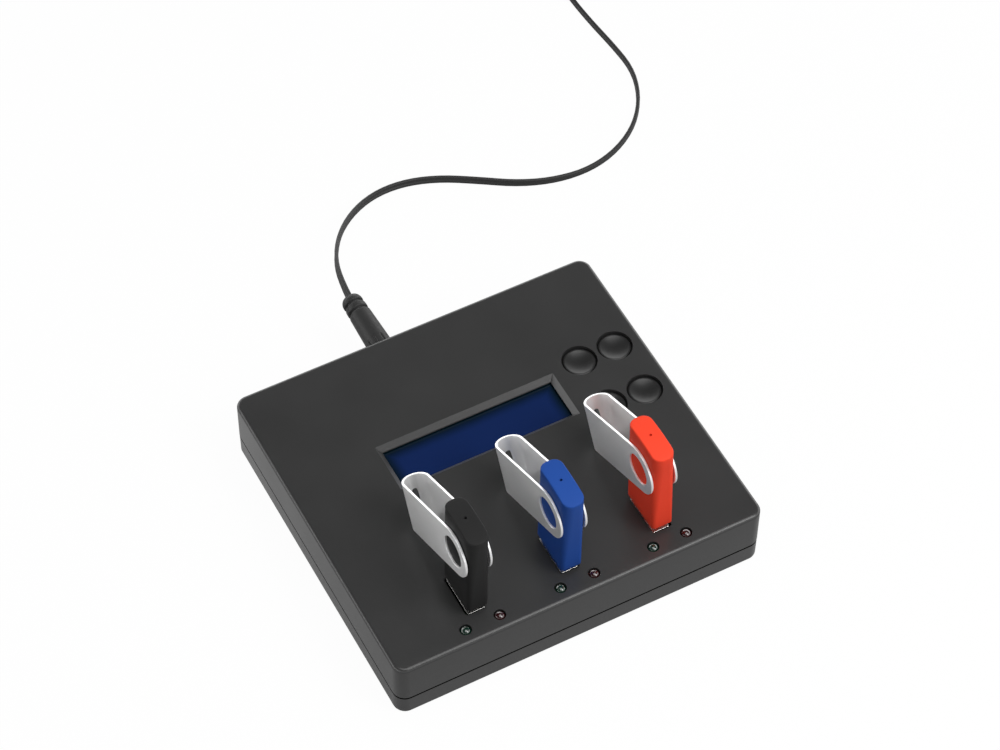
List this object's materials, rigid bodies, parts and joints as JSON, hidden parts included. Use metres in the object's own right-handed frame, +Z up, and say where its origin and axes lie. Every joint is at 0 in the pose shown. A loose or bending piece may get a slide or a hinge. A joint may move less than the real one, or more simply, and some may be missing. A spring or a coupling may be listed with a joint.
{
  "type": "usb flash drive duplicator",
  "caption": "Low square desktop unit that copies USB flash drives, with a blue display, round buttons, lamps, plugged swivel drives and a power adapter on a lead",
  "frame": {"origin": "under the middle of the case, on the plane that the rubber feet stand on", "axes": "+X to the right and +Y to the rear as the user sees it, +Z up"},
  "size_m": [0.2481, 0.3627, 0.0673],
  "materials": {
    "black_case": "fine matt moulded ABS",
    "foot_rubber": "soft black rubber",
    "steel": "plain zinc plated steel",
    "circuit_board": "green solder resist",
    "chip_black": "moulded black plastic",
    "capacitor_can": "drawn aluminium can",
    "lcd_frame_black": "black coated sheet steel",
    "lcd_blue": "blue display glass",
    "white_plastic": "white plastic",
    "contact_brass": "plated contact metal",
    "jack_black": "black moulded plastic",
    "plated_metal": "bright nickel plate",
    "lead_black": "soft black PVC",
    "tie_black": "black plastic band",
    "adapter_black": "fine matt black plastic",
    "button_black": "satin black plastic",
    "green_lens": "dark green tinted clear lens",
    "red_lens": "dark red tinted clear lens",
    "drive_black": "soft touch black",
    "drive_blue": "soft touch blue",
    "drive_red": "soft touch orange red",
    "clip_metal": "satin silver sheet, bright cut edges"
  },
  "bodies": {
    "root": {"top_shell": "black_case", "bottom_shell": "black_case", "rubber_feet": "foot_rubber", "case_screws": "steel", "main_board": "circuit_board", "board_screws": "steel", "controller_chip": "chip_black", "filter_capacitors": "capacitor_can", "lcd_board": "circuit_board", "lcd_frame": "lcd_frame_black", "lcd_glass": "lcd_blue", "lcd_backlight": "white_plastic", "lcd_header": "chip_black", "tact_switches": "chip_black", "usb_contacts": "contact_brass", "dc_jack_housing": "jack_black", "dc_jack_pin": "plated_metal", "power_plug_grip": "lead_black", "power_plug_barrel": "plated_metal", "power_lead": "lead_black", "power_coil": "lead_black", "coil_ties": "tie_black", "adapter_relief": "lead_black", "adapter_case": "adapter_black", "adapter_blades": "contact_brass", "usb_shell_1": "plated_metal", "usb_insulator_1": "chip_black", "green_led_1": "green_lens", "red_led_1": "red_lens", "usb_shell_2": "plated_metal", "usb_insulator_2": "chip_black", "green_led_2": "green_lens", "red_led_2": "red_lens", "usb_shell_3": "plated_metal", "usb_insulator_3": "chip_black", "green_led_3": "green_lens", "red_led_3": "red_lens"},
    "button_1": {"button_cap_1": "button_black", "switch_plunger_1": "white_plastic"},
    "button_2": {"button_cap_2": "button_black", "switch_plunger_2": "white_plastic"},
    "button_3": {"button_cap_3": "button_black", "switch_plunger_3": "white_plastic"},
    "button_4": {"button_cap_4": "button_black", "switch_plunger_4": "white_plastic"},
    "drive_1": {"drive_body_1": "drive_black", "drive_plug_1": "plated_metal", "drive_core_1": "chip_black", "drive_board_1": "circuit_board"},
    "clip_1": {"drive_clip_1": "clip_metal"},
    "drive_2": {"drive_body_2": "drive_blue", "drive_plug_2": "plated_metal", "drive_core_2": "chip_black", "drive_board_2": "circuit_board"},
    "clip_2": {"drive_clip_2": "clip_metal"},
    "drive_3": {"drive_body_3": "drive_red", "drive_plug_3": "plated_metal", "drive_core_3": "chip_black", "drive_board_3": "circuit_board"},
    "clip_3": {"drive_clip_3": "clip_metal"}
  },
  "joints": [
    {"name": "button_1_press", "type": "slide", "parent": "root", "child": "button_1", "axis": [0, 0, -1], "range_m": [0, 0.0006], "stiffness_N_per_m": 1500},
    {"name": "button_2_press", "type": "slide", "parent": "root", "child": "button_2", "axis": [0, 0, -1], "range_m": [0, 0.0006], "stiffness_N_per_m": 1500},
    {"name": "button_3_press", "type": "slide", "parent": "root", "child": "button_3", "axis": [0, 0, -1], "range_m": [0, 0.0006], "stiffness_N_per_m": 1500},
    {"name": "button_4_press", "type": "slide", "parent": "root", "child": "button_4", "axis": [0, 0, -1], "range_m": [0, 0.0006], "stiffness_N_per_m": 1500},
    {"name": "drive_1_pull", "type": "slide", "parent": "root", "child": "drive_1", "axis": [0.0052, -0.0052, 1], "range_m": [0, 0.014]},
    {"name": "clip_1_swivel", "type": "hinge", "parent": "drive_1", "child": "clip_1", "pos_m": [-0.03443, -0.04437, 0.0523], "axis": [1, 0, -0.0052], "range_deg": [0, 242]},
    {"name": "drive_2_pull", "type": "slide", "parent": "root", "child": "drive_2", "axis": [-0.0122, -0.0279, 0.9995], "range_m": [0, 0.014]},
    {"name": "clip_2_swivel", "type": "hinge", "parent": "drive_2", "child": "clip_2", "pos_m": [-0.0001, -0.04511, 0.05228], "axis": [0.9999, 0, 0.0122], "range_deg": [0, 242]},
    {"name": "drive_3_pull", "type": "slide", "parent": "root", "child": "drive_3", "axis": [-0.0209, 0.0192, 0.9996], "range_m": [0, 0.014]},
    {"name": "clip_3_swivel", "type": "hinge", "parent": "drive_3", "child": "clip_3", "pos_m": [0.03432, -0.04358, 0.05229], "axis": [0.9998, 0, 0.0209], "range_deg": [0, 242]}
  ]
}
